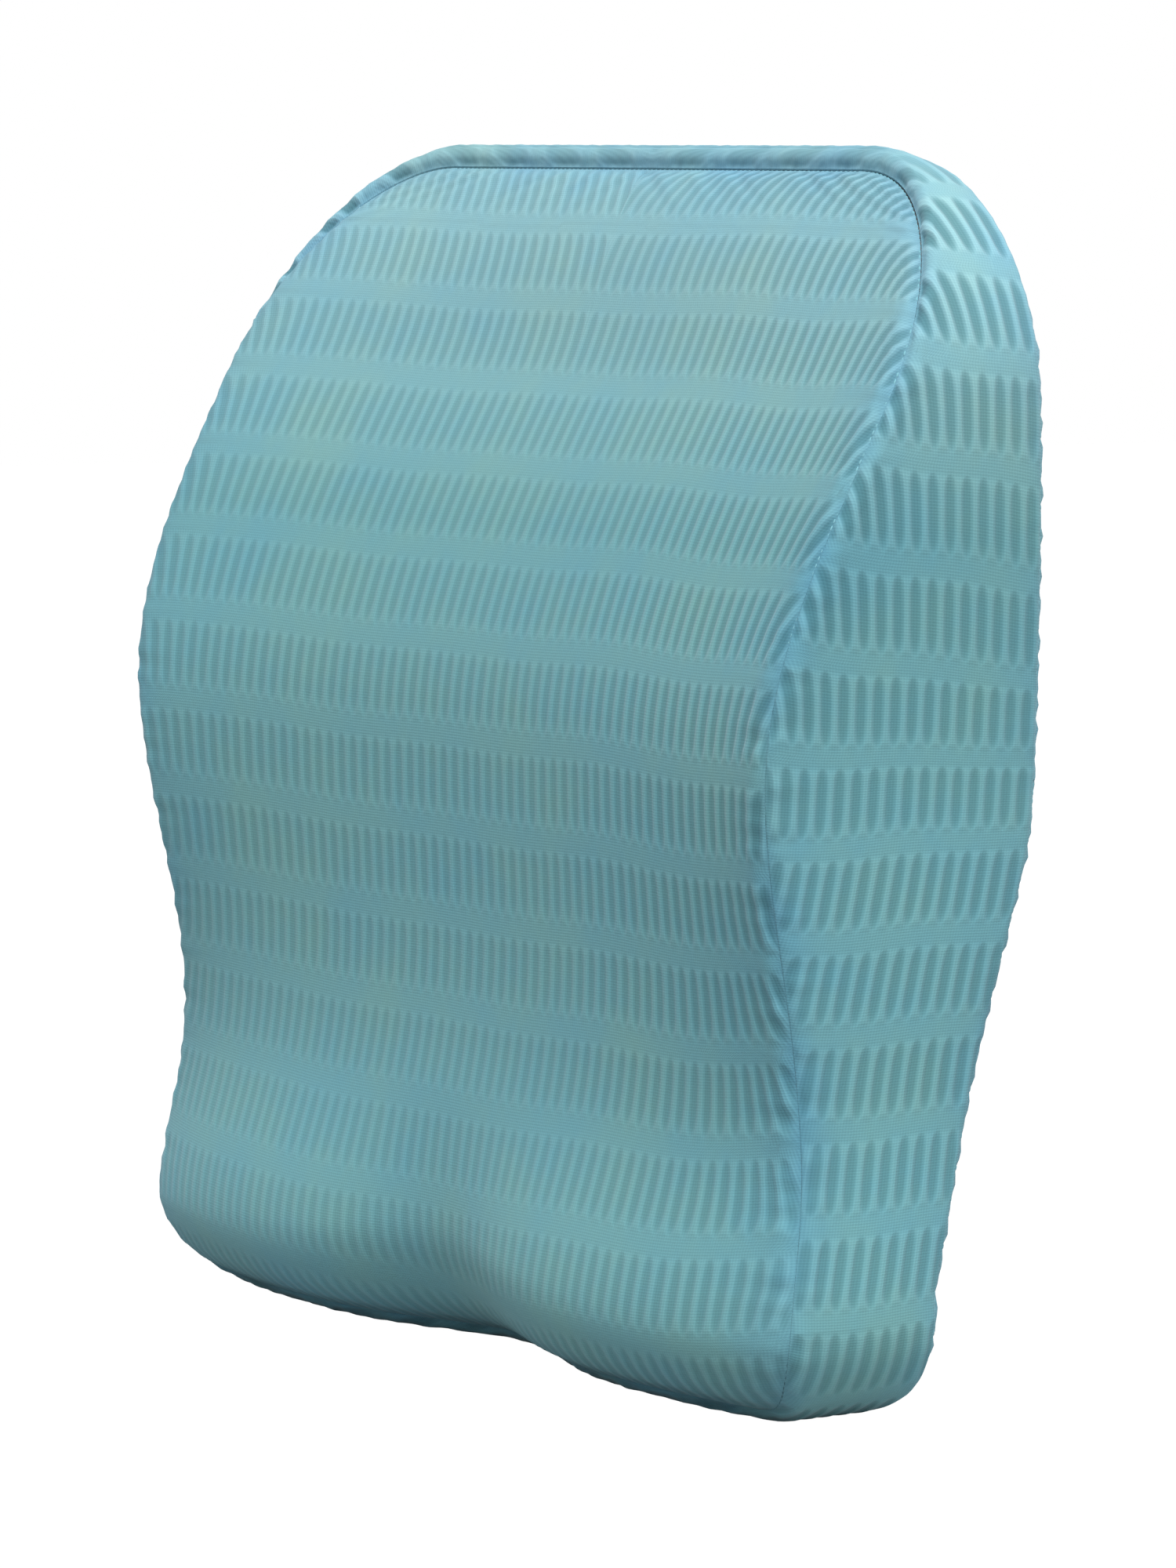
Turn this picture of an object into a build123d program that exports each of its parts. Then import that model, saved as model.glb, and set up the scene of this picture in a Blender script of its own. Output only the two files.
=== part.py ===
"""Lumbar support cushion: a moulded foam core in a liner and a zipped, ribbed knit cover with a back strap.

Millimetres, +Z up. The front, which the sitter leans on, faces -Y. The origin is at the bottom
centre of the whole cushion's bounding box.
"""

import math
import os

from build123d import *

os.makedirs("parts", exist_ok=True)

# ---- overall shape, seen from the front ----
height = 412.0
shoulder_width = 401.0  # widest, just under the rounded top corners
waist_width = 379.0
waist_z = 118.0
foot_width = 391.0
shoulder_radius = 80.0
foot_radius = 35.0

# ---- front profile: how far the front seam stands forward of the Y = 0 plane ----
foot_forward = 36.0
toe_forward, toe_z = 38.5, 32.0
hollow_forward, hollow_z = 32.0, 82.0
belly_forward, belly_z = 54.3, 222.0
chest_forward, chest_below_top = 13.0, 82.0
crest_forward = -40.0  # the top edge stands behind the Y = 0 plane

# ---- front plan shape ----
wing_depth = 17.0  # the middle of the backrest lies this far behind its two wings
lobe_bulge = 20.0  # the two foot lobes stand this far ahead of their side seams
valley_depth = 14.0  # groove between the two foot lobes
valley_half_width = 48.0

# ---- back profile ----
foot_back, foot_back_top = 23.0, 44.0
kink_back, kink_z = 63.0, 188.0
crest_back = 54.0
toe_radius = 38.0
heel_radius = 14.0
crest_radius = 12.0

# ---- layers, from the outside in ----
cover = 3.0
seam = 1.6  # width of the sewn ridge between two cover panels
liner_gap = 1.3
liner = 0.8

# ---- zipper, across the upper back ----
zip_z = 208.0
zip_opening = 280.0
zip_gap = 14.0  # distance between the two fabric edges
tape_width = 24.0
tape = 0.6
tape_depth = 1.2  # from the back's outer face to the tape
tape_tuck = 6.0  # tape beyond each end of the opening
coil_width = 2.5
coil = 1.8
coil_slot = 1.0  # between the two coils
stop_length = 3.0

# ---- zipper slider and pull tab ----
running = 0.3
slider_length = 11.0
slider_width = 9.4
slider_plate = 1.1
slider_neck = 3.0
flange = 1.2
bail_reach, bail_height, bail_width = 3.8, 3.0, 2.0
bail_bar = 1.2
tab_length = 30.0
tab_width = 7.0
tab = 1.5
tab_hole = 3.2

# ---- strap and side-release buckle ----
strap_width = 38.0
strap = 1.6
strap_margin = 5.5  # from the narrowest part of the edge to the strap's sewn end
anchor_length = 26.0
anchor = 1.2
buckle_wall = 3.5
buckle_height = 10.0
cavity = 3.8
socket_length = 27.0
socket_overlap = 6.0  # socket's mouth past the middle
rail_length = 6.0
bar_length = 2.8
prong_width = 5.0
prong_length = 21.0
tongue_width = 6.0

# ---- care label, low on the back ----
label_width, label_height, label = 34.0, 20.0, 0.4
label_z = 125.0
label_margin = 16.0

SURFACE_MARGIN = 30.0
PAST = 2.0  # the outline cuts the floor and the top, so the side profile runs past both
FAR = 300.0


def smooth(value, low, high):
    """0 below low, 1 above high, and a smooth S in between."""
    t = min(1.0, max(0.0, (value - low) / (high - low)))
    return t * t * (3 - 2 * t)


def forward(x, z, seam_forward):
    """How far the front stands forward at x, z, given the side seam's own forward distance there."""
    u = x / (shoulder_width / 2)
    upper = smooth(z, toe_z, belly_z)
    near_top = smooth(z, height - chest_below_top, height)
    wing = wing_depth * upper * (1 - 0.85 * near_top)
    lobe = lobe_bulge * (1 - upper) ** 1.3
    valley = valley_depth * (1 - smooth(z, toe_z / 2, hollow_z + toe_z / 2))
    bulge = lobe * (1 - u**4) - wing * (1 - u**2)
    return seam_forward + bulge - valley * math.exp(-((x / valley_half_width) ** 2))


def front_surface():
    """The front as one smooth face, a margin larger than the cushion all round."""
    profile = Spline(
        (-SURFACE_MARGIN, foot_forward - 6),
        (0, foot_forward),
        (toe_z, toe_forward),
        (hollow_z, hollow_forward),
        (belly_z, belly_forward),
        (height - chest_below_top, chest_forward),
        (height, crest_forward),
        (height + SURFACE_MARGIN, crest_forward - SURFACE_MARGIN),
    )
    rows, columns = 24, 20
    half = shoulder_width / 2 + SURFACE_MARGIN
    grid = []
    for i in range(rows + 1):
        at = profile @ (i / rows)
        xs = [half * (2 * j / columns - 1) for j in range(columns + 1)]
        grid.append([Vector(x, -forward(x, at.X, at.Y), at.X) for x in xs])
    return Face.make_surface_from_array_of_points(grid, tol=0.05)


def outline(inset):
    """The cushion's front-view outline as a long prism along Y, with its edge moved in by inset."""
    shoulder, waist, foot = (w / 2 - inset for w in (shoulder_width, waist_width, foot_width))
    top, base = height - inset, inset
    shoulder_z, foot_z = height - shoulder_radius, foot_radius
    top_x = shoulder_width / 2 - shoulder_radius
    foot_x = foot_width / 2 - foot_radius
    lines = []
    for side in (1, -1):
        lines.append(
            Spline(
                [(side * shoulder, shoulder_z), (side * waist, waist_z), (side * foot, foot_z)],
                tangents=[(0, -1), (0, -1)],
            )
        )
        lines.append(
            RadiusArc((side * top_x, top), (side * shoulder, shoulder_z), side * (shoulder_radius - inset))
        )
        lines.append(RadiusArc((side * foot, foot_z), (side * foot_x, base), side * (foot_radius - inset)))
    lines.append(Line((-top_x, top), (top_x, top)))
    lines.append(Line((-foot_x, base), (foot_x, base)))
    face = make_face(Plane.XZ * Curve(lines))
    return extrude(face, amount=FAR, both=True)


def side_profile(inset):
    """Everything between the floor and the back's profile, open to the front, as a prism along X."""
    toe_y = -(toe_forward + lobe_bulge)
    base = inset - PAST
    toe_r = toe_radius - inset
    heel_y, kink_y, crest_y = (y - inset for y in (foot_back, kink_back, crest_back))
    crest_z = height + PAST - inset
    points = [
        (-FAR, crest_z + SURFACE_MARGIN),
        (-FAR, base + toe_r),
        (toe_y + inset, base + toe_r),
        (toe_y + inset + toe_r, base),
        (heel_y - heel_radius, base),
        (heel_y, base + heel_radius),
        (heel_y, foot_back_top),
        (kink_y, kink_z),
        (crest_y, crest_z - crest_radius),
        (crest_y - crest_radius, crest_z),
        (crest_y - crest_radius, crest_z + SURFACE_MARGIN),
    ]
    arcs = {2: toe_r, 4: heel_radius, 8: crest_radius}
    lines = []
    for i, start in enumerate(points):
        end = points[(i + 1) % len(points)]
        lines.append(RadiusArc(start, end, -arcs[i]) if i in arcs else Line(start, end))
    face = make_face(Plane.YZ * Curve(lines))
    return extrude(face, amount=FAR, both=True)


FRONT = front_surface()


def behind_front(inset):
    """Everything behind the front surface, moved back by inset."""
    return extrude(Pos(0, inset, 0) * FRONT, amount=FAR, dir=(0, 1, 0))


def envelope(inset):
    return behind_front(inset) & side_profile(inset) & outline(inset)


def split_front_back(shell):
    """Parts a closed shell along a plane that leans back from the base to the top edge."""
    behind_front_panel = cover / 6 + cover - crest_forward
    cut = Plane(origin=(0, 0, 0), x_dir=(1, 0, 0), z_dir=(0, height, -behind_front_panel))
    return split(shell, cut, keep=Keep.BOTTOM), split(shell, cut, keep=Keep.TOP)


# ---- the back's two flats: the upper one carries the zipper and the strap, the lower one the label ----
def flat_frame(rise_y, rise_z, z):
    """A frame on a back flat at height z: local x to -X, local y up the flat, local z outwards."""
    y = kink_back + (z - kink_z) * rise_y / rise_z
    return Plane(origin=(0, y, z), x_dir=(-1, 0, 0), z_dir=(0, rise_z, -rise_y))


def upper_flat(z):
    crest_start = height + PAST - crest_radius
    return flat_frame(crest_back - kink_back, crest_start - kink_z, z)


def lower_flat(z):
    return flat_frame(kink_back - foot_back, kink_z - foot_back_top, z)


def block(x, y, z):
    """A box given by its (low, high) along each axis."""
    size = [high - low for low, high in (x, y, z)]
    middle = [(high + low) / 2 for low, high in (x, y, z)]
    return Pos(*middle) * Box(*size)


nodes = {}

# ---- foam core and its liner ----
liner_inset = cover + liner_gap
core_inset = liner_inset + liner
nodes["foam_core"] = envelope(core_inset)
liner_shell = envelope(liner_inset) - nodes["foam_core"]
nodes["liner_front"], nodes["liner_back"] = split_front_back(liner_shell)

# ---- knit cover: a front panel, a strip round the edge, a base panel and two back panels ----
whole = envelope(0)
shell = whole - envelope(cover)
inside_strip = outline(cover)
inside_seam = outline(cover + seam)
strip = shell - inside_strip
base_cut = Plane.XY.offset(foot_radius)
nodes["cover_side_strip"] = split(strip, base_cut, keep=Keep.TOP)
nodes["cover_base"] = split(strip, base_cut, keep=Keep.BOTTOM)
front_skin, back_skin = split_front_back(shell & inside_strip)
nodes["front_seam"] = front_skin - inside_seam
nodes["cover_front"] = front_skin & inside_seam
nodes["back_seam"] = back_skin - inside_seam
back_panel = back_skin & inside_seam

zip_frame = upper_flat(zip_z)
half_gap, half_opening = zip_gap / 2, zip_opening / 2
opening = zip_frame * block((-half_opening, half_opening), (-half_gap, half_gap), (-2 * cover, cover))
half_tape = half_opening + tape_tuck
tape_z = (-tape_depth - tape, -tape_depth)
coil_inner = coil_slot / 2
coil_outer = coil_inner + coil_width
tape_outer = tape_width / 2
zip_cut = Plane(origin=zip_frame.origin, x_dir=zip_frame.x_dir, z_dir=zip_frame.y_dir)
panels = {
    "upper": split(back_panel, zip_cut, keep=Keep.TOP),
    "lower": split(back_panel, zip_cut, keep=Keep.BOTTOM),
}
coil_middle = -tape_depth - tape / 2
coil_z = (coil_middle - coil / 2, coil_middle + coil / 2)
coil_half = half_opening - stop_length - running
for name, side in (("upper", 1), ("lower", -1)):
    def band(inner, outer):
        return tuple(sorted((side * inner, side * outer)))

    tape_strip = zip_frame * block((-half_tape, half_tape), band(coil_outer, tape_outer), tape_z)
    nodes[f"cover_back_{name}"] = panels[name] - opening - tape_strip
    nodes[f"zip_tape_{name}"] = tape_strip
    nodes[f"zip_coil_{name}"] = zip_frame * block((-coil_half, coil_half), band(coil_inner, coil_outer), coil_z)
for name, end in (("closed", 1), ("open", -1)):
    x = sorted((end * coil_half, end * (coil_half + stop_length)))
    nodes[f"zip_stop_{name}"] = zip_frame * block(x, (-coil_outer, coil_outer), coil_z)

# ---- zipper slider: two plates joined by a neck between the coils, with a bail for the pull tab ----
slider_x = coil_half - slider_length / 2 - running
plate_top = coil_z[1] + running
plate_base = coil_z[0] - running
half_slider, half_width = slider_length / 2, slider_width / 2
plates = block((-half_slider, half_slider), (-half_width, half_width), (plate_top, plate_top + slider_plate))
plates += block((-half_slider, half_slider), (-half_width, half_width), (plate_base - slider_plate, plate_base))
neck = coil_slot / 2 - running
slider = plates + block((-half_slider + 1, -half_slider + 1 + slider_neck), (-neck, neck), (plate_base, plate_top))
for side in (1, -1):
    rim = tuple(sorted((side * (half_width - flange), side * half_width)))
    slider += block((-half_slider, half_slider), rim, (tape_z[1] + running, plate_top))
    slider += block((-half_slider, half_slider), rim, (plate_base, tape_z[0] - running))
bail_z = plate_top + slider_plate
bail_half = bail_width / 2
bail = block((-bail_reach, bail_reach), (-bail_half, bail_half), (bail_z, bail_z + bail_height))
bail -= block(
    (-bail_reach + bail_bar, bail_reach - bail_bar), (-bail_width, bail_width), (bail_z, bail_z + bail_height - bail_bar)
)
slider += bail
nodes["zip_slider"] = zip_frame * Pos(slider_x, 0, 0) * slider

# ---- pull tab: its eye's crossbar turns under the bail ----
pivot_z = bail_z + running + tab / 2
eye_inner = bail_half + running
eye_outer = tab_width / 2
eye_end = bail_reach + 2.4
tab_z = (pivot_z - tab / 2, pivot_z + tab / 2)
blade = Pos(-eye_end, 0, pivot_z) * extrude(
    Pos(-(tab_length - eye_end) / 2, 0) * RectangleRounded(tab_length - eye_end, tab_width, 1.5),
    amount=tab / 2,
    both=True,
)
blade -= Pos(-tab_length + tab_hole, 0, pivot_z) * Cylinder(tab_hole / 2, 3 * tab)
for side in (1, -1):
    arm = tuple(sorted((side * eye_inner, side * eye_outer)))
    blade += block((-eye_end - 2, 0), arm, tab_z)
crossbar = Pos(0, 0, pivot_z) * Rot(90, 0, 0) * Cylinder(tab / 2, 2 * eye_outer)
nodes["zip_pull_tab"] = zip_frame * Pos(slider_x, 0, 0) * (blade + crossbar)

# ---- strap: each half wraps its buckle bar and is sewn down at the side seam ----
strap_z = (zip_z + height - shoulder_radius) / 2  # midway from the zipper to the shoulder corners
strap_end = min(shoulder_width, waist_width) / 2 - strap_margin
strap_frame = upper_flat(strap_z)
half_strap = strap_width / 2
strap_low = running
bar_x = socket_length - bar_length
bar_z = (strap_low + strap + running, buckle_height - strap - running)
wrap_x = bar_x - running - strap / 2
over_z = bar_z[1] + running + strap / 2
rail_outer = half_strap + buckle_wall


def strap_half(side):
    """One half of the strap, from its sewn end round the bar and back to its own stitching."""
    low, lifted = strap_low + strap, over_z - strap / 2
    inner, outer = wrap_x - strap / 2, wrap_x + strap / 2
    lift_end, stitch_start, stitch_end = (socket_length + reach for reach in (2, 24, 40))
    edge = [
        (strap_end, strap_low),
        (inner, strap_low),
        (inner, lifted + strap),
        (lift_end, lifted + strap),
        (stitch_start, low + strap),
        (stitch_end, low + strap),
        (stitch_end, low),
        (strap_end, low),
    ]
    loop = [(outer, low), (outer, lifted), (lift_end, lifted), (stitch_start, low)]
    faces = [make_face(Polyline([(side * x, z) for x, z in ring], close=True)) for ring in (edge, loop)]
    return Rot(90, 0, 0) * extrude(faces[0] - faces[1], amount=half_strap, both=True)


def tail(side):
    """The bar that a strap half wraps, and the two rails that carry it."""
    inner = socket_length - bar_length - rail_length
    bar = block(sorted((side * bar_x, side * socket_length)), (-rail_outer, rail_outer), bar_z)
    for edge in (1, -1):
        rail = sorted((edge * (half_strap + running), edge * rail_outer))
        bar += block(sorted((side * inner, side * socket_length)), rail, bar_z)
    return bar


body_end = socket_length - bar_length - rail_length
middle = buckle_height / 2 + running
body_z = (running, buckle_height)
cavity_z = (middle - cavity / 2, middle + cavity / 2)
cavity_half = rail_outer - buckle_wall
prong_z = (middle - cavity / 2 + running, middle + cavity / 2 - running)
window = (-socket_overlap - 4, 2)

# The socket is on the local -x side and its mouth opens towards local +x.
socket = block((-body_end, socket_overlap), (-rail_outer, rail_outer), body_z)
socket -= block((-body_end + buckle_wall, socket_overlap + 1), (-cavity_half, cavity_half), cavity_z)
socket -= block(window, (-rail_outer - 1, rail_outer + 1), cavity_z)
socket += tail(-1)
nodes["buckle_socket"] = strap_frame * socket

plug_face = socket_overlap + running
plug = block((plug_face, body_end), (-rail_outer, rail_outer), body_z)
plug += block((-body_end + buckle_wall + 1, plug_face), (-tongue_width / 2, tongue_width / 2), prong_z)
plug += tail(1)
nodes["buckle_plug"] = strap_frame * plug

prong_outer = cavity_half - running
prongs = []
for side in (1, -1):
    arm = block((plug_face - prong_length + 4, plug_face), sorted((side * (prong_outer - prong_width), side * prong_outer)), prong_z)
    head_x = (window[0] + running, window[1] - running)
    head = block(head_x, sorted((side * prong_outer, side * (rail_outer - 0.5))), prong_z)
    prongs.append(strap_frame * (arm + head))
nodes["buckle_prongs"] = Compound(prongs)

# Seen from behind, the plug's half of the strap is on the right.
for name, side in (("plug", 1), ("socket", -1)):
    nodes[f"strap_{name}_half"] = strap_frame * strap_half(side)
    anchor_x = sorted((side * (strap_end - anchor_length), side * (strap_end + 2)))
    anchor_low = strap_low + strap + running
    patch = block(anchor_x, (-half_strap - 3, half_strap + 3), (anchor_low, anchor_low + anchor))
    for edge in (1, -1):
        foot = sorted((edge * (half_strap + running), edge * (half_strap + 3)))
        patch += block(anchor_x, foot, (0, anchor_low))
    nodes[f"strap_anchor_{name}"] = strap_frame * patch

# ---- blank care label, low on the back beside the seam ----
label_x = waist_width / 2 - label_margin
nodes["care_label"] = lower_flat(label_z) * block(
    (label_x - label_width, label_x), (-label_height / 2, label_height / 2), (0, label)
)

# ---- move the origin to the bottom centre of the whole and write one file per node ----
box = Compound([part.wrapped and Compound(part.solids()) for part in nodes.values()]).bounding_box()
origin = Pos(-box.center().X, -box.center().Y, -box.min.Z)
for name, part in nodes.items():
    export_step(origin * Compound(part.solids()), f"parts/{name}.step")

rest_z = height - shoulder_radius
for name, place in (
    ("pull tab pivot", zip_frame * Pos(slider_x, 0, pivot_z)),
    ("upper back", upper_flat(rest_z).location),
    ("strap", strap_frame * Pos(0, 0, strap_low + strap)),
    ("base", Location((0, (foot_back - foot_forward) / 2, 0))),
):
    spot = (origin * place).position
    print(name, round(spot.X, 3), round(spot.Y, 3), round(spot.Z, 3))
print("upper back normal", zip_frame.z_dir, "travel", 2 * slider_x, "size", box.size)
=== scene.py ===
import math

import bpy
import numpy as np
from mathutils import Euler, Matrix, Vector


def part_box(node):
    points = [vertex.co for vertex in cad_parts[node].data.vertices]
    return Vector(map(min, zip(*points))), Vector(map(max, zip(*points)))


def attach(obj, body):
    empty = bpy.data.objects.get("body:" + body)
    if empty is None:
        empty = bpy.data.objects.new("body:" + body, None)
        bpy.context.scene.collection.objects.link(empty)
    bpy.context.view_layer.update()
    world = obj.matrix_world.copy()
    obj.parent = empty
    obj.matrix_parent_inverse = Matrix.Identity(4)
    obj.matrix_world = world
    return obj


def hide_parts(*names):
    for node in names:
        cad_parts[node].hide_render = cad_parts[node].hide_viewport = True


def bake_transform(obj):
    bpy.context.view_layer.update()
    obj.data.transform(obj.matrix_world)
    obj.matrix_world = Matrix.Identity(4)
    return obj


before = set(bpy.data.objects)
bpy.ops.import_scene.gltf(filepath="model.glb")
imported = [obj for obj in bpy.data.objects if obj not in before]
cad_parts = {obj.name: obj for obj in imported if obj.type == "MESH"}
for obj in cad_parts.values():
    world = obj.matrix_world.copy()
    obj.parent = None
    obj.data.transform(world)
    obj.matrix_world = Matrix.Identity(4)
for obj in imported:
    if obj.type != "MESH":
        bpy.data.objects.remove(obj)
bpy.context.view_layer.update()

# The cushion's looks: its knit cover panels are dense meshes whose ribs and rows are real relief.
# Shape values are in millimetres in the design's own frame; meshes are written in metres.
MM = 0.001

# ---- shape ----
STRIP_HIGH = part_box("cover_side_strip")[1]
HEIGHT = STRIP_HIGH.z / MM
SHOULDER = STRIP_HIGH.x / MM
WAIST, FOOT = 189.5, 195.5
WAIST_Z = 118.0
SHOULDER_RADIUS, FOOT_RADIUS = 80.0, 35.0
SHOULDER_Z, FOOT_Z = HEIGHT - SHOULDER_RADIUS, FOOT_RADIUS
CORNER_X, FOOT_X = SHOULDER - SHOULDER_RADIUS, FOOT - FOOT_RADIUS
TOE_Z, HOLLOW_Z, BELLY_Z, CHEST_Z = 32.0, 82.0, 222.0, HEIGHT - 82.0
# heights up the front, and how far forward its sides are there; the first and last only guide the curve
FRONT_POINTS = [
    (-30, 30),
    (0, 36),
    (TOE_Z, 38.5),
    (HOLLOW_Z, 32),
    (BELLY_Z, 54.3),
    (CHEST_Z, 13),
    (HEIGHT, -40),
    (HEIGHT + 30, -70),
]
WING_DEPTH, LOBE_BULGE, VALLEY_DEPTH, VALLEY_HALF = 17.0, 20.0, 14.0, 48.0
WING_FADE = 0.85  # how much shallower the hollow between the wings is at the top
TOE_RADIUS = 34.0
VALLEY_TOE_GROWTH, VALLEY_TOE_HALF = 0.35, 60.0
FOOT_BACK, FOOT_BACK_TOP = 23.0, 44.0
KINK_BACK, KINK_Z, KINK_SOFTNESS = 63.0, 188.0, 2.5
CREST_BACK, CREST_RADIUS, HEEL_RADIUS = 54.0, 12.0, 14.0
SHIFT_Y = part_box("cover_back_lower")[1].y / MM - KINK_BACK
ZIP_Z = 208.0
ZIP_HALF_GAP = 7.0
ZIP_HALF_OPENING = 140.0

# ---- knit ----
RIB_PITCH = 6.8
ROW_PITCH = 32.0
SLOT_HALF_LENGTH = 11.8
SLOT_WIDTH = 0.29  # half the width of a slot, as a share of the rib pitch
RIB_DEPTH = 0.5
TOP_ROW_BELOW = 13.0  # from the top down to the middle of the topmost row of slots
# how strongly the front's ribs show: everywhere, more towards the +X side, and more beside the seam there
FRONT_STRENGTH, NEAR_STRENGTH, SEAM_STRENGTH = 0.36, 0.20, 0.25
# how far the front's ribs lean beside the seam: above the belly, in the hollow and at the foot
LEAN_HIGH, LEAN_HOLLOW, LEAN_FOOT = 0.60, 0.42, 0.25

# ---- seams ----
FRONT_CREASE_WIDTH, BACK_CREASE_WIDTH = 2.4, 2.0
FRONT_CREASE_SIDES, FRONT_CREASE_TOP, BACK_CREASE = 0.4, 1.1, 1.3
PUCKER_DEPTH, BACK_PUCKER_DEPTH = 0.4, 0.6
PUCKER_START, PUCKER_REACH = 2.5, 7.0
# how far the painted shade beside a seam reaches into the knit's colour
SEAM_SHADE_REACH = 9.0
ALLOWANCE = 3.0
HEM_FROM_EDGE = 4.5  # from the edge of the zipper's opening to its line of stitches

# ---- how finely the panels are drawn ----
FRONT_STEP, FRONT_COLUMNS = 2.15, 441
BACK_STEP, BACK_COLUMNS = 2.6, 331
RING_STEP, RING_COLUMNS, RING_TOP, RING_FLOOR = 2.3, 139, 106, 120
MIRROR = np.array([-1.0, 1.0])


def smooth(v, low, high):
    """A smooth step from 0 at low to 1 at high."""
    t = np.clip((np.asarray(v, float) - low) / (high - low), 0, 1)
    return t * t * (3 - 2 * t)


def natural_spline(points):
    """A natural cubic spline through points sorted by their first value, as a function."""
    x, y = np.array(points, float).T
    h = np.diff(x)
    n = len(x)
    a = np.eye(n)
    rhs = np.zeros(n)
    for i in range(1, n - 1):
        a[i, i - 1 : i + 2] = h[i - 1], 2 * (h[i - 1] + h[i]), h[i]
        rhs[i] = 6 * ((y[i + 1] - y[i]) / h[i] - (y[i] - y[i - 1]) / h[i - 1])
    m = np.linalg.solve(a, rhs)

    def curve(v):
        v = np.asarray(v, float)
        i = np.clip(np.searchsorted(x, v) - 1, 0, n - 2)
        left, right, s = v - x[i], x[i + 1] - v, h[i]
        bend = (m[i] * right**3 + m[i + 1] * left**3) / (6 * s)
        return bend + (y[i] / s - m[i] * s / 6) * right + (y[i + 1] / s - m[i + 1] * s / 6) * left

    return curve


def random_wave(seed, low, high, count):
    """A smooth seeded function, mostly between -1.5 and 1.5, with wavelengths from low to high."""
    rng = np.random.default_rng(seed)
    waves = [(2 * math.pi / rng.uniform(low, high), rng.uniform(0, 2 * math.pi)) for _ in range(count)]
    return lambda v: sum(np.sin(k * v + p) for k, p in waves) / math.sqrt(count)


seam_forward = natural_spline(FRONT_POINTS)


def front_y(x, z):
    """The front face before its edges are rounded, with the foot curling under."""
    u = x / SHOULDER
    upper = smooth(z, TOE_Z, BELLY_Z)
    wing = WING_DEPTH * upper * (1 - WING_FADE * smooth(z, CHEST_Z, HEIGHT))
    lobe = LOBE_BULGE * (1 - upper) ** 1.3
    valley = VALLEY_DEPTH * (1 - smooth(z, TOE_Z / 2, HOLLOW_Z + TOE_Z / 2))
    bulge = lobe * (1 - u**4) - wing * (1 - u**2)
    radius = TOE_RADIUS * (1 + VALLEY_TOE_GROWTH * np.exp(-((x / VALLEY_TOE_HALF) ** 2)))
    under = np.maximum(radius - z, 0)
    toe = radius - np.sqrt(np.maximum(radius**2 - under**2, 0))
    return -(seam_forward(z) + bulge - valley * np.exp(-((x / VALLEY_HALF) ** 2))) + toe


def back_profile(z):
    """The back's upper and lower flats, meeting in a soft kink."""
    lower = FOOT_BACK + (KINK_BACK - FOOT_BACK) * np.maximum(z - FOOT_BACK_TOP, 0) / (KINK_Z - FOOT_BACK_TOP)
    upper = KINK_BACK + (CREST_BACK - KINK_BACK) * (z - KINK_Z) / (HEIGHT - CREST_RADIUS - KINK_Z)
    return -KINK_SOFTNESS * np.log(np.exp(-lower / KINK_SOFTNESS) + np.exp(-upper / KINK_SOFTNESS))


def back_y(x, z):
    """The back face, rounded at the crest and the heel."""
    over = np.maximum(z - (HEIGHT - CREST_RADIUS), 0)
    under = np.maximum(HEEL_RADIUS - z, 0)
    crest = CREST_RADIUS - np.sqrt(np.maximum(CREST_RADIUS**2 - over**2, 0))
    heel = HEEL_RADIUS - np.sqrt(np.maximum(HEEL_RADIUS**2 - under**2, 0))
    return back_profile(z) - crest - heel + 0 * x


def side_half(z):
    """Half the width at a height: least at the waist, most at the shoulders."""
    waisted = FOOT + (WAIST - FOOT) * smooth(z, FOOT_Z, WAIST_Z)
    return waisted + (SHOULDER - WAIST) * smooth(z, WAIST_Z, SHOULDER_Z)


def edge_distance(x, z):
    """How far inside the front-view outline a point is."""
    ax = np.abs(x)
    e = np.minimum(side_half(np.clip(z, FOOT_Z, SHOULDER_Z)) - ax, np.minimum(HEIGHT - z, z))
    top = (ax > CORNER_X) & (z > SHOULDER_Z)
    e = np.where(top, SHOULDER_RADIUS - np.hypot(ax - CORNER_X, z - SHOULDER_Z), e)
    foot = (ax > FOOT_X) & (z < FOOT_Z)
    return np.where(foot, FOOT_RADIUS - np.hypot(ax - FOOT_X, FOOT_Z - z), e)


# The edges are rounded over `reach` from the outline and `drop` from the front or back face. The seam
# runs where the rounding is at 45 degrees, so a panel starts at SEAM of each.
SEAM = 1 - math.sqrt(0.5)


def front_edge(z):
    near_top = smooth(z, SHOULDER_Z, HEIGHT)
    reach = 10 + 12 * near_top + 4 * (1 - smooth(z, 0, FOOT_Z))
    return reach, 10 - 5 * near_top


def back_edge(z):
    near_top = smooth(z, SHOULDER_Z, HEIGHT)
    return 8 - 2 * near_top, 8 - 4 * near_top


def rounding(e, reach, drop):
    return drop * (1 - np.sqrt(1 - np.clip(1 - e / reach, 0, 1) ** 2))


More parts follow.
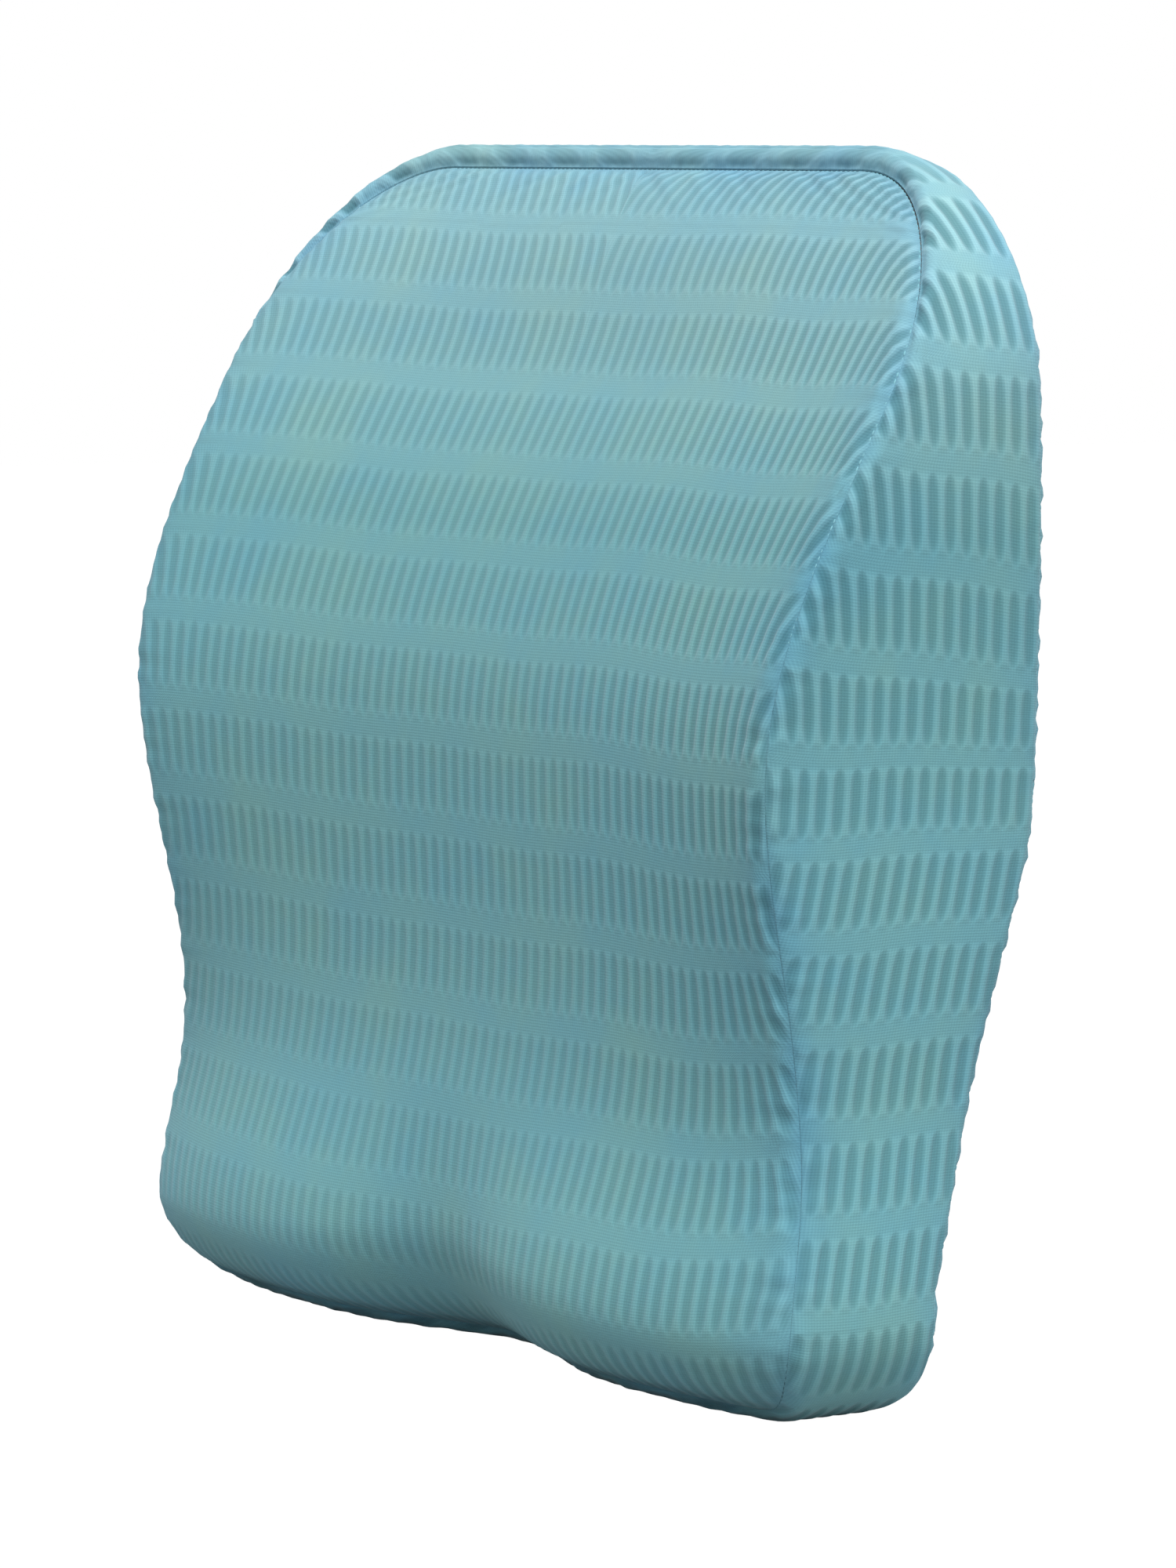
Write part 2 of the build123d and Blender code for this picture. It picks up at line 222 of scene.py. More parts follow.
def right_rim(step):
    """Points and outward normals up the right half of the outline, from the floor to the top."""
    foot = np.linspace(-90, 0, max(8, round(FOOT_RADIUS * math.pi / 2 / step)))
    shoulder = np.linspace(0, 90, round(SHOULDER_RADIUS * math.pi / 2 / step))
    side = np.linspace(FOOT_Z, SHOULDER_Z, round((SHOULDER_Z - FOOT_Z) / step))[1:-1]
    points, normals = [], []
    for angle in np.radians(foot):
        normals.append((math.cos(angle), math.sin(angle)))
        points.append((FOOT_X + FOOT_RADIUS * math.cos(angle), FOOT_Z + FOOT_RADIUS * math.sin(angle)))
    for z in side:
        slope = float(side_half(z + 0.5) - side_half(z - 0.5))
        normals.append((1 / math.hypot(1, slope), -slope / math.hypot(1, slope)))
        points.append((float(side_half(z)), z))
    for angle in np.radians(shoulder):
        normals.append((math.cos(angle), math.sin(angle)))
        x = CORNER_X + SHOULDER_RADIUS * math.cos(angle)
        points.append((x, SHOULDER_Z + SHOULDER_RADIUS * math.sin(angle)))
    return np.array(points), np.array(normals)


def level_run(start, end, count, z, facing):
    """Points along a level stretch of the outline, without its ends, and its normals: up is 1, down is -1."""
    x = np.linspace(start, end, count)[1:-1]
    return np.stack([x, np.full_like(x, z)], 1), np.tile([0.0, facing], (len(x), 1))


# ---- the knit's relief ----
def row_offset(along):
    """Millimetres from the middle of the nearest row of slots."""
    return (along / ROW_PITCH - np.floor(along / ROW_PITCH) - 0.5) * ROW_PITCH


def slots(across, along):
    """The knit's long slots: 1 in a slot, 0 on the plain rows, -0.4 on the raised cords between slots."""
    d = np.abs(across / RIB_PITCH - np.floor(across / RIB_PITCH) - 0.5) / SLOT_WIDTH
    t = np.abs(row_offset(along)) / SLOT_HALF_LENGTH
    shape = d**2 + t**4
    in_row = 1 - smooth(t, 0.85, 1.1)
    return (1 - smooth(shape, 0.2, 1.5)) - 0.4 * smooth(shape, 1.1, 2.4) * in_row


UV_SCALE = 0.01
ROWS_CLOSER_Z, ROWS_CLOSER = 214.0, 1.05


def displaced(grid, depth):
    """The grid moved along its own normals by -depth."""
    du = np.gradient(grid, axis=1)
    dv = np.gradient(grid, axis=0)
    normal = np.cross(du, dv)
    normal /= np.maximum(np.linalg.norm(normal, axis=2, keepdims=True), 1e-9)
    return grid - normal * depth[..., None]


def seam_pucker(gap):
    """How strongly the fabric puckers at a distance from a seam: not in the seam itself, most beside it."""
    return smooth(gap, 0, PUCKER_START) * np.exp(-np.maximum(gap, 0) / PUCKER_REACH)


def front_crease(z):
    """Depth of the crease along the front seam: soft up the sides, deep round the top."""
    return FRONT_CREASE_SIDES + FRONT_CREASE_TOP * smooth(z, 250, 330)


def grid_mesh(name, grid, across, along, ribbed, seam_gap, flip=False, closed=False):
    """A mesh object of a grid of points in design millimetres. It carries the fabric's own coordinates, how
    strongly the ribs show, and the nearness of a seam, which sets the painted shade beside it."""
    rows, columns = grid.shape[:2]
    place = grid.copy()
    place[..., 1] += SHIFT_Y
    index = np.arange(rows * columns).reshape(rows, columns)
    if closed:
        index = np.concatenate([index, index[:, :1]], axis=1)
    quads = np.stack([index[:-1, :-1], index[:-1, 1:], index[1:, 1:], index[1:, :-1]], -1).reshape(-1, 4)
    if flip:
        quads = quads[:, ::-1]
    mesh = bpy.data.meshes.new(name)
    mesh.vertices.add(rows * columns)
    mesh.vertices.foreach_set("co", (place * MM).astype(np.float32).ravel())
    mesh.loops.add(quads.size)
    mesh.loops.foreach_set("vertex_index", quads.ravel().astype(np.int32))
    mesh.polygons.add(len(quads))
    mesh.polygons.foreach_set("loop_start", np.arange(0, quads.size, 4, dtype=np.int32))
    mesh.polygons.foreach_set("loop_total", np.full(len(quads), 4, np.int32))
    mesh.update()
    mesh.validate()
    layer = mesh.uv_layers.new(name="fabric")
    loop_vertex = np.zeros(len(mesh.loops), np.int32)
    mesh.loops.foreach_get("vertex_index", loop_vertex)
    fabric = np.stack([across, along], -1).reshape(-1, 2) * UV_SCALE
    layer.data.foreach_set("uv", fabric[loop_vertex].astype(np.float32).ravel())
    # the nearness of a seam, which sets the painted shade beside it in the knit's colour
    seam = np.exp(-np.maximum(seam_gap, 0) / SEAM_SHADE_REACH)
    for key, values in (("ribbed", ribbed), ("seam", seam)):
        attribute = mesh.attributes.new(key, "FLOAT", "POINT")
        attribute.data.foreach_set("value", np.broadcast_to(values, across.shape).astype(np.float32).ravel())
    mesh.polygons.foreach_set("use_smooth", np.ones(len(mesh.polygons), bool))
    obj = bpy.data.objects.new(name, mesh)
    bpy.context.scene.collection.objects.link(obj)
    return obj


# ---- front and back panels: rows from edge to edge of the outline, bottom to top ----
def profile_length(z):
    """Fabric length up the front from the floor to height z."""
    zs = np.linspace(0, HEIGHT, 2000)
    under = np.maximum(TOE_RADIUS - zs, 0)
    toe = TOE_RADIUS - np.sqrt(np.maximum(TOE_RADIUS**2 - under**2, 0))
    ys = seam_forward(zs) - toe
    lengths = np.concatenate([[0], np.cumsum(np.hypot(np.diff(zs), np.diff(ys)))])
    return np.interp(z, zs, lengths)


FIRST_ROW = profile_length(HEIGHT - TOP_ROW_BELOW)
pucker_front = random_wave(3, 7, 16, 6)
pucker_side = random_wave(5, 7, 16, 6)
drift_front = random_wave(8, 90, 240, 5)
drift_side = random_wave(9, 60, 160, 5)


def panel_rows(step, edge):
    """Half the width and the height of each row of a panel, where its seam is."""
    rim, normal = right_rim(step)
    reach, _ = edge(rim[:, 1])
    inner = rim - normal * (SEAM * reach)[:, None]
    return inner[:, 0], inner[:, 1]


def front_panel():
    """The front, its ribs leaning beside the seam and fading into its crease."""
    half, z = panel_rows(FRONT_STEP, front_edge)
    c = np.linspace(-1, 1, FRONT_COLUMNS)
    x = half[:, None] * c[None, :]
    z = np.repeat(z[:, None], len(c), 1)
    e = edge_distance(x, z)
    reach, drop = front_edge(z)
    y = front_y(x, z) + rounding(e, reach, drop)
    grid = np.stack([x, y, z], -1)
    # near the seam the ribs of a row lean: up into the seam above the belly, away from it in the hollow
    seam_gap = e - SEAM * reach
    near = np.exp(-np.maximum(seam_gap, 0) / 20)
    rise = 4 + 5 * (1 - smooth(z, HOLLOW_Z, BELLY_Z)) * smooth(x, 0, SHOULDER)
    along = profile_length(z) - FIRST_ROW - rise * (x / SHOULDER) ** 2 + drift_front(x + 40) + ROW_PITCH / 2
    along += 3.5 * near * smooth(z, HOLLOW_Z, BELLY_Z)
    in_hollow = smooth(z, 55, 80) * (1 - smooth(z, 120, 190))
    lean = LEAN_HIGH * smooth(z, 150, 300) - LEAN_HOLLOW * in_hollow + LEAN_FOOT * (1 - smooth(z, 40, 60))
    across = x - np.sign(x) * lean * near * row_offset(along) + 0.35 * drift_front(z)
    beside_seam = smooth(x, 0, 60) * np.exp(-np.maximum(seam_gap, 0) / 10) * smooth(z, 60, 200)
    strength = FRONT_STRENGTH + NEAR_STRENGTH * smooth(x, 30, 170) + SEAM_STRENGTH * beside_seam
    strength = strength * (0.78 + 0.22 * smooth(z, 70, 160))
    ribbed = smooth(seam_gap, -0.5, 1.8) * strength
    knit = slots(across, along) * ribbed
    rim_length = profile_length(z) + 0.8 * np.abs(x) * smooth(z, SHOULDER_Z, HEIGHT)
    pucker = seam_pucker(seam_gap) * pucker_front(rim_length)
    crease = front_crease(z) * np.exp(-((seam_gap / FRONT_CREASE_WIDTH) ** 2))
    relief = RIB_DEPTH * knit + crease + PUCKER_DEPTH * pucker
    return grid_mesh("cover_front_panel", displaced(grid, relief), across, along, ribbed, seam_gap)


def back_panel(name, low, high):
    """The back above or below the zipper, with a hem along the opening."""
    half, zs = panel_rows(BACK_STEP, back_edge)
    keep = (zs >= low) & (zs <= high)
    zs, half = zs[keep], half[keep]
    if high < HEIGHT:
        zs, half = np.append(zs, ZIP_Z), np.append(half, np.interp(ZIP_Z, zs, half))
    if low > 0:
        zs, half = np.insert(zs, 0, ZIP_Z), np.insert(half, 0, np.interp(ZIP_Z, zs, half))
    c = np.linspace(-1, 1, BACK_COLUMNS)
    x = half[:, None] * c[None, :]
    z = np.repeat(zs[:, None], len(c), 1)
    # the panel's edge draws back from the zipper along its opening
    draw = ZIP_HALF_GAP * (1 - smooth(np.abs(x), ZIP_HALF_OPENING - 2.5, ZIP_HALF_OPENING + 0.3))
    away = 1 if low > 0 else -1
    z = z + away * draw * np.clip(1 - np.abs(z - ZIP_Z) / 30, 0, 1)
    e = edge_distance(x, z)
    reach, drop = back_edge(z)
    y = back_y(x, z) - rounding(e, reach, drop)
    hem_gap = np.abs(z - ZIP_Z) - draw
    hem = 0.9 * np.exp(-((hem_gap - HEM_FROM_EDGE) / 1.1) ** 2) - 0.5 * np.exp(-((hem_gap / 1.5) ** 2))
    seam_gap = e - SEAM * reach
    across = x + 0.3 * drift_side(z)
    along = z + 6 + 0.8 * drift_front(x)
    ribbed = 0.6 * smooth(seam_gap, 0.5, 5) * smooth(hem_gap, 5, 9)
    crease = BACK_CREASE * np.exp(-((seam_gap / BACK_CREASE_WIDTH) ** 2))
    pucker = BACK_PUCKER_DEPTH * seam_pucker(seam_gap) * pucker_side(z + x)
    relief = RIB_DEPTH * slots(across, along) * ribbed + crease + hem + pucker
    grid = np.stack([x, y, z], -1)
    return grid_mesh(name, displaced(grid, -relief), across, along, ribbed, seam_gap, flip=True)


# ---- the edge: one ring of fabric between the front and back seams, cut into the strip and the base ----
def edge_ring(rim, normal, length_at, columns=RING_COLUMNS):
    """Points, fabric coordinates, rib strength and seam distance over the ring."""
    z_rim = rim[:, 1]
    edges = []
    for surface, edge in ((front_y, front_edge), (back_y, back_edge)):
        reach, drop = edge(z_rim)
        seam = rim - normal * (SEAM * reach)[:, None]
        arc = math.pi / 4 * (reach + drop) / 2
        edges.append([v[:, None] for v in (reach, drop, arc, surface(seam[:, 0], seam[:, 1]))])
    (reach_f, drop_f, arc_f, y_front), (reach_b, drop_b, arc_b, y_back) = edges
    flat = np.maximum(y_back - drop_b - y_front - drop_f, 0.5)
    total = arc_f + flat + arc_b
    q = total * np.linspace(0, 1, columns)[None, :]
    turn_f = math.pi / 4 * np.clip(1 - q / arc_f, 0, 1)
    turn_b = math.pi / 4 * np.clip(1 - (total - q) / arc_b, 0, 1)
    middle = np.clip((q - arc_f) / flat, 0, 1)
    front_part = y_front + drop_f * (1 - np.sin(turn_f))
    back_part = y_back - drop_b * (1 - np.sin(turn_b))
    flat_part = (y_front + drop_f) + middle * ((y_back - drop_b) - (y_front + drop_f))
    y = np.where(q < arc_f, front_part, np.where(q > arc_f + flat, back_part, flat_part))
    crown = smooth(z_rim, 0, FOOT_Z)[:, None] * np.sin(math.pi * middle)
    inset = reach_f * (1 - np.cos(turn_f)) + reach_b * (1 - np.cos(turn_b)) - crown
    x = rim[:, :1] - normal[:, :1] * inset
    z = rim[:, 1:] - normal[:, 1:] * inset
    grid = np.stack([x, y, z], -1)
    low_half = 1 - smooth(length_at, 190, 260)[:, None]
    droop = (0.15 - 0.13 * low_half) * np.maximum(q - 4, 0)
    along = length_at[:, None] + droop + 0.8 * drift_side(q + 30)
    # the ribs run nearly parallel to the back, so the front seam cuts across them
    back_there = back_profile(np.minimum(z_rim, HEIGHT - CREST_RADIUS))[:, None]
    back_line = KINK_BACK + 0.7 * (back_there - KINK_BACK)
    lean = 0.22 * np.exp(-q / 14) * row_offset(along) * (1 - low_half)
    across = back_line - y - lean + 0.3 * drift_side(length_at * 0.7)[:, None]
    seam_gap = np.minimum(q, total - q)
    strength = 0.52 + 0.4 * np.exp(-q / 18) * smooth(z, 150, 300) + 0.25 * smooth(z, 320, 380)
    strength *= 1 - 0.65 * smooth(z, 396, 410)
    ribbed = smooth(q, -0.5, 1.5) * smooth(total - q, 1, 5) * strength
    crease = front_crease(z) * np.exp(-((q / FRONT_CREASE_WIDTH) ** 2))
    crease = crease + BACK_CREASE * np.exp(-(((total - q) / BACK_CREASE_WIDTH) ** 2))
    pucker = seam_pucker(seam_gap) * pucker_side(length_at)[:, None] * (0.4 + 0.6 * (q < total / 2))
    relief = 0.85 * RIB_DEPTH * slots(across, along) * ribbed + crease + PUCKER_DEPTH * pucker
    grid = displaced(grid, relief)
    # the seam allowances, turned in behind the neighbouring panels
    inward = -np.stack([normal[:, 0], np.zeros(len(normal)), normal[:, 1]], 1)
    backward = np.array([0.0, 1.0, 0.0])
    first = grid[:, 0] + ALLOWANCE * (inward + backward) / math.sqrt(2)
    last = grid[:, -1] + ALLOWANCE * (inward - backward) / math.sqrt(2)
    grid = np.concatenate([first[:, None], grid, last[:, None]], axis=1)
    return grid, *(np.pad(v, ((0, 0), (1, 1)), mode="edge") for v in (across, along, ribbed, seam_gap))


def strip_and_base():
    """The strip runs up one side, over the top and down the other; the base closes the bottom."""
    rim, normal = right_rim(RING_STEP)
    start = int(np.argmax(rim[:, 1] >= FOOT_Z - 0.5))
    top, up = level_run(CORNER_X, -CORNER_X, RING_TOP, HEIGHT, 1.0)
    bottom, down = level_run(-FOOT_X, FOOT_X, RING_FLOOR, 0.0, -1.0)
    # fabric length up the side; the rows are a little closer together below the belly than above it
    climb = np.concatenate([[0], np.cumsum(np.linalg.norm(np.diff(rim, axis=0), axis=1))])
    climb += rim[start, 1] - climb[start]
    closer = ROWS_CLOSER_Z + (climb - ROWS_CLOSER_Z) * ROWS_CLOSER
    climb = np.where(climb < ROWS_CLOSER_Z, closer, climb) + 2.4
    side, foot = slice(start, None), slice(None, start)
    parts = (
        (rim[side], normal[side], climb[side]),
        (top, up, climb[-1] + CORNER_X - np.abs(top[:, 0])),
        ((rim * MIRROR)[side][::-1], (normal * MIRROR)[side][::-1], climb[side][::-1]),
        ((rim * MIRROR)[foot][::-1], (normal * MIRROR)[foot][::-1], climb[foot][::-1]),
        (bottom, down, climb[0] - FOOT_X + np.abs(bottom[:, 0])),
        (rim[foot], normal[foot], climb[foot]),
    )
    whole = [np.concatenate([part[i] for part in parts]) for i in range(3)]
    turn = 3  # rows repeated past each end so the ring joins smoothly
    ring = edge_ring(*(np.concatenate([v[-turn:], v, v[: turn + 1]]) for v in whole))
    strip_rows = 2 * (len(rim) - start) + len(top)
    strip = [v[turn : turn + strip_rows] for v in ring]
    base = [v[turn + strip_rows - 1 : -turn] for v in ring]
    return grid_mesh("cover_edge_strip", *strip), grid_mesh("cover_base_strip", *base)


def inner_body(name, inset, columns=61):
    """A closed body at a nearly even depth under the cover: rings from the floor to the top."""
    rim, normal = right_rim(5.0)
    half, zs = (rim - normal * inset).T
    c = np.linspace(-1, 1, columns)
    grid = []
    heights = np.concatenate([zs[:1], zs, zs[-1:]])
    widths = np.concatenate([half[:1], half, half[-1:]])
    thickness = [0.0] + [1.0] * len(zs) + [0.0]
    for scale, z, width in zip(thickness, heights, widths):
        x = width * c
        e = np.maximum(edge_distance(x, np.full_like(x, z)), inset)
        reach, drop = front_edge(z)
        y_front = front_y(x, np.full_like(x, z)) + rounding(e, reach, drop) + inset
        reach, drop = back_edge(z)
        y_back = back_y(x, np.full_like(x, z)) - rounding(e, reach, drop) - inset
        middle = (y_front + y_back) / 2
        y_front = middle + (y_front - middle) * scale
        y_back = middle + (y_back - middle) * scale
        front_side = np.stack([x, y_front, np.full_like(x, z)], 1)
        back_side = np.stack([x, y_back, np.full_like(x, z)], 1)[::-1]
        grid.append(np.concatenate([front_side, back_side]))
    grid = np.array(grid)
    flat = np.zeros(grid.shape[:2])
    return grid_mesh(name, grid, grid[..., 0], grid[..., 2], flat, flat + 99, closed=True)


# ---- threads, teeth and webbing ----
def tube_mesh(name, paths, radius, sides=6):
    """One mesh of many closed round tubes along short paths of points, in world millimetres."""
    vertices, faces = [], []
    for path in paths:
        path = np.array(path, float)
        heading = np.gradient(path, axis=0)
        heading /= np.linalg.norm(heading, axis=1, keepdims=True)
        start = len(vertices)
        for i, (point, ahead) in enumerate(zip(path, heading)):
            aside = np.cross(ahead, [0.3, 0.5, 0.81])
            aside /= np.linalg.norm(aside)
            up = np.cross(ahead, aside)
            taper = 0.55 if i in (0, len(path) - 1) else 1.0
            for k in range(sides):
                turn = 2 * math.pi * k / sides
                vertices.append(point + taper * radius * (math.cos(turn) * aside + math.sin(turn) * up))
        for i in range(len(path) - 1):
            for k in range(sides):
                a, b = start + i * sides + k, start + i * sides + (k + 1) % sides
                faces.append((a, b, b + sides, a + sides))
        faces.append(tuple(start + k for k in reversed(range(sides))))
        faces.append(tuple(start + (len(path) - 1) * sides + k for k in range(sides)))
    mesh = bpy.data.meshes.new(name)
    mesh.from_pydata((np.array(vertices) * MM).tolist(), [], faces)
    mesh.polygons.foreach_set("use_smooth", np.ones(len(mesh.polygons), bool))
    obj = bpy.data.objects.new(name, mesh)
    bpy.context.scene.collection.objects.link(obj)
    return obj


def flat_point(origin_z, slope_from):
    """World millimetres from a flat's own coordinates: along X, up the flat, and out of it."""
    (y0, z0), (y1, z1) = slope_from
    up = np.array([0, y1 - y0, z1 - z0]) / math.hypot(y1 - y0, z1 - z0)
    out = np.array([0, up[2], -up[1]])
    start = np.array([0, y0 + (y1 - y0) * (origin_z - z0) / (z1 - z0) + SHIFT_Y, origin_z])
    return lambda x, v, w: start + np.array([x, 0, 0]) + v * up + w * out


UPPER_FLAT = ((KINK_BACK, KINK_Z), (CREST_BACK, HEIGHT - CREST_RADIUS))
LOWER_FLAT = ((FOOT_BACK, FOOT_BACK_TOP), (KINK_BACK, KINK_Z))


def stitched_line(at, start, end, pitch=3.4, rise=0.35):
    """Paths of the stitches along a straight line on a flat, standing `rise` above it."""
    (x0, v0), (x1, v1) = start, end
    count = max(2, round(math.hypot(x1 - x0, v1 - v0) / pitch))
    paths = []
    for i in range(count):
        path = []
        for share, lift in ((0.08, -0.25), (0.25, 0.75), (0.5, 1.0), (0.75, 0.75), (0.92, -0.25)):
            s = (i + share) / count
            path.append(at(x0 + (x1 - x0) * s, v0 + (v1 - v0) * s, rise * lift))
        paths.append(path)
    return paths


def boxed_cross(at, x0, x1, half, inset=3.0):
    """A sewn rectangle with both diagonals."""
    a, b, c = x0 + inset, x1 - inset, half - inset
    corners = [(a, -c), (b, -c), (b, c), (a, c)]
    paths = []
    for i in range(4):
        paths += stitched_line(at, corners[i], corners[(i + 1) % 4])
    paths += stitched_line(at, corners[0], corners[2])
    return paths + stitched_line(at, corners[1], corners[3])


# one loop of a coil: how far out as a share of its width, how high, and how far along
COIL_LOOP = (
    (1.0, -0.2, 0),
    (0.95, 0.62, 0.05),
    (0.6, 0.7, 0.15),
    (0.15, 0.62, 0.3),
    (0.0, 0.0, 0.42),
    (0.15, -0.55, 0.55),
    (0.9, -0.6, 0.7),
)


def coil_teeth(at, half_length, inner, outer, side, phase):
    """The loops of one half of a nylon coil, wound over the tape's edge."""
    paths = []
    count = round(2 * half_length / COIL_PITCH)
    for i in range(count):
        x = -half_length + (i + 0.5 + 0.5 * phase) * COIL_PITCH
        if x > half_length - 0.4:
            continue
        path = []
        for share, lift, lead in COIL_LOOP:
            reach = inner + (outer - inner) * share
            path.append(at(x + lead, side * reach, lift))
        paths.append(path)
    return paths


def ribbon(name, at, path, half_width, thickness, ribs_count=9):
    """A webbing ribbon along a path of (x, w) points, its face ribbed lengthwise and its edges rounded."""
    path = np.array(path, float)
    lengths = np.concatenate([[0], np.cumsum(np.linalg.norm(np.diff(path, axis=0), axis=1))])
    steps = np.linspace(0, lengths[-1], round(lengths[-1] / 1.3))
    xs, ws = (np.interp(steps, lengths, path[:, i]) for i in (0, 1))
    for _ in range(3):  # round the corners of the path a little
        xs[1:-1] = (xs[:-2] + 2 * xs[1:-1] + xs[2:]) / 4
        ws[1:-1] = (ws[:-2] + 2 * ws[1:-1] + ws[2:]) / 4
    heading = np.stack([np.gradient(xs), np.gradient(ws)], 1)
    heading /= np.linalg.norm(heading, axis=1, keepdims=True)
    v = half_width * np.sin(np.linspace(-math.pi / 2, math.pi / 2, 73))
    edge = np.sqrt(np.maximum(1 - (v / half_width) ** 24, 0))
    ripple = 1 - 0.11 * (0.5 + 0.5 * np.cos(2 * math.pi * v * ribs_count / (2 * half_width)))
    half = thickness / 2 * edge * ripple
    section = [(a, b) for a, b in zip(v, half)] + [(a, -b) for a, b in zip(v[::-1], half[::-1])]
    rows = []
    for i in range(-1, len(steps) + 1):
        k = min(max(i, 0), len(steps) - 1)
        shrink = 0.0 if i in (-1, len(steps)) else 1.0
        nx, nw = -heading[k, 1], heading[k, 0]
        rows.append([at(xs[k] + nx * t * shrink, a, ws[k] + nw * t * shrink) for a, t in section])
    grid = np.array(rows)
    grid[..., 1] -= SHIFT_Y
    along = np.pad(steps, 1, mode="edge")[:, None] + np.zeros(grid.shape[:2])
    across = np.array([a for a, _ in section])[None, :] + np.zeros(grid.shape[:2])
    return grid_mesh(name, grid, across, along, 0 * along, 99 + 0 * along, closed=True)


def seam_stitches(name, surface, edge, facing, sunk, pitch=2.6, radius=0.5):
    """The closing stitches in the crease of a seam, all the way round."""
    rim, normal = right_rim(1.0)
    top, up = level_run(CORNER_X, -CORNER_X, 242, HEIGHT, 1.0)
    bottom, down = level_run(-FOOT_X, FOOT_X, 322, 0.0, -1.0)
    rim = np.concatenate([rim, top, (rim * MIRROR)[::-1], bottom, rim[:1]])
    normal = np.concatenate([normal, up, (normal * MIRROR)[::-1], down, normal[:1]])
    reach, drop = edge(rim[:, 1])
    x, z = (rim - normal * (SEAM * reach)[:, None]).T
    y = surface(x, z) - facing * SEAM * drop + SHIFT_Y
    depth = sunk(z) / math.sqrt(2)
    loop = np.stack([x - normal[:, 0] * depth, y - facing * depth, z - normal[:, 1] * depth], 1)
    length = np.concatenate([[0], np.cumsum(np.linalg.norm(np.diff(loop, axis=0), axis=1))])
    paths = []
    for i in range(round(length[-1] / pitch)):
        at = (i + np.array([0.06, 0.3, 0.6, 0.9])) * pitch
        paths.append(np.stack([np.interp(at, length, loop[:, k]) for k in range(3)], 1))
    return tube_mesh(name, paths, radius)


# ---- materials ----
# the knit's colour on the plain rows, the painted shade in the slots, and the painted highlight on the raised
# cords
PLAIN_ROW = (0.212, 0.492, 0.545)
SLOT_PAINTED_SHADE = (0.100, 0.285, 0.318)
CORD_PAINTED_HIGHLIGHT = (0.305, 0.640, 0.685)
# painted shade beside the seams: the knit's colour there is multiplied darker and bluer
SEAM_PAINTED_SHADE = (0.78, 0.84, 0.98)
# painted light and shade by height: the knit's colour is made darker low down, in uneven bands, and lighter
# towards the top
HEIGHT_PAINTED_LIGHT = (  # the height in metres, and the tint there
    (0.05, (0.85, 0.87, 0.85)),
    (0.11, (0.78, 0.80, 0.78)),
    (0.19, (0.87, 0.89, 0.87)),
    (0.285, (0.81, 0.82, 0.79)),
    (0.385, (1.38, 1.12, 1.08)),
)


def material(name):
    made = bpy.data.materials.new(name)
    made.use_nodes = True
    tree = made.node_tree
    shader = next(n for n in tree.nodes if n.type == "BSDF_PRINCIPLED")
    return made, tree, shader


def node(tree, kind, inputs=(), **settings):
    made = tree.nodes.new(kind)
    for key, value in settings.items():
        setattr(made, key, value)
    for key, value in dict(inputs).items():
        if isinstance(value, bpy.types.NodeSocket):
            tree.links.new(value, made.inputs[key])
        else:
            made.inputs[key].default_value = value
    return made


def ramp(tree, factor, stops):
    made = node(tree, "ShaderNodeValToRGB", {"Fac": factor})
    elements = made.color_ramp.elements
    while len(elements) < len(stops):
        elements.new(0.5)
    for element, (place, colour) in zip(elements, stops):
        element.position = place
        element.color = (*colour, 1)
    return made.outputs["Color"]


def mix(tree, factor, a, b, blend="MIX"):
    made = node(tree, "ShaderNodeMix", data_type="RGBA", blend_type=blend)
    for key, value in (("Factor", factor), ("A", a), ("B", b)):
        socket = next(s for s in made.inputs if s.name == key and s.enabled)
        if isinstance(value, bpy.types.NodeSocket):
            tree.links.new(value, socket)
        else:
            socket.default_value = value if key == "Factor" else (*value, 1)
    return next(s for s in made.outputs if s.enabled)


def calc(tree, operation, a, b=0.0, clamp=False):
    return node(tree, "ShaderNodeMath", {0: a, 1: b}, operation=operation, use_clamp=clamp).outputs[0]


def step_up(tree, value, low, high):
    """A smooth step from 0 at low to 1 at high."""
    limits = {"Value": value, "From Min": low, "From Max": high}
    return node(tree, "ShaderNodeMapRange", limits, interpolation_type="SMOOTHSTEP").outputs[0]


def centred(tree, value, pitch):
    """How far a value is from the middle of its repeat, as a share of the repeat."""
    share = calc(tree, "FRACT", calc(tree, "DIVIDE", value, pitch * UV_SCALE))
    return calc(tree, "ABSOLUTE", calc(tree, "SUBTRACT", share, 0.5))


def fabric_coordinates(tree):
    """The fabric's own coordinates: across its ribs, and along them."""
    fabric = node(tree, "ShaderNodeUVMap", uv_map="fabric").outputs["UV"]
    return node(tree, "ShaderNodeSeparateXYZ", {0: fabric}).outputs[:2]


def object_place(tree):
    return node(tree, "ShaderNodeTexCoord").outputs["Object"]


def noise(tree, place, scale, detail, roughness=0.5):
    settings = {"Vector": place, "Scale": scale, "Detail": detail, "Roughness": roughness}
    return node(tree, "ShaderNodeTexNoise", settings).outputs["Fac"]


def add_bump(tree, shader, height, strength, distance):
    bump = node(tree, "ShaderNodeBump", {"Height": height, "Strength": strength, "Distance": distance})
    tree.links.new(bump.outputs["Normal"], shader.inputs["Normal"])


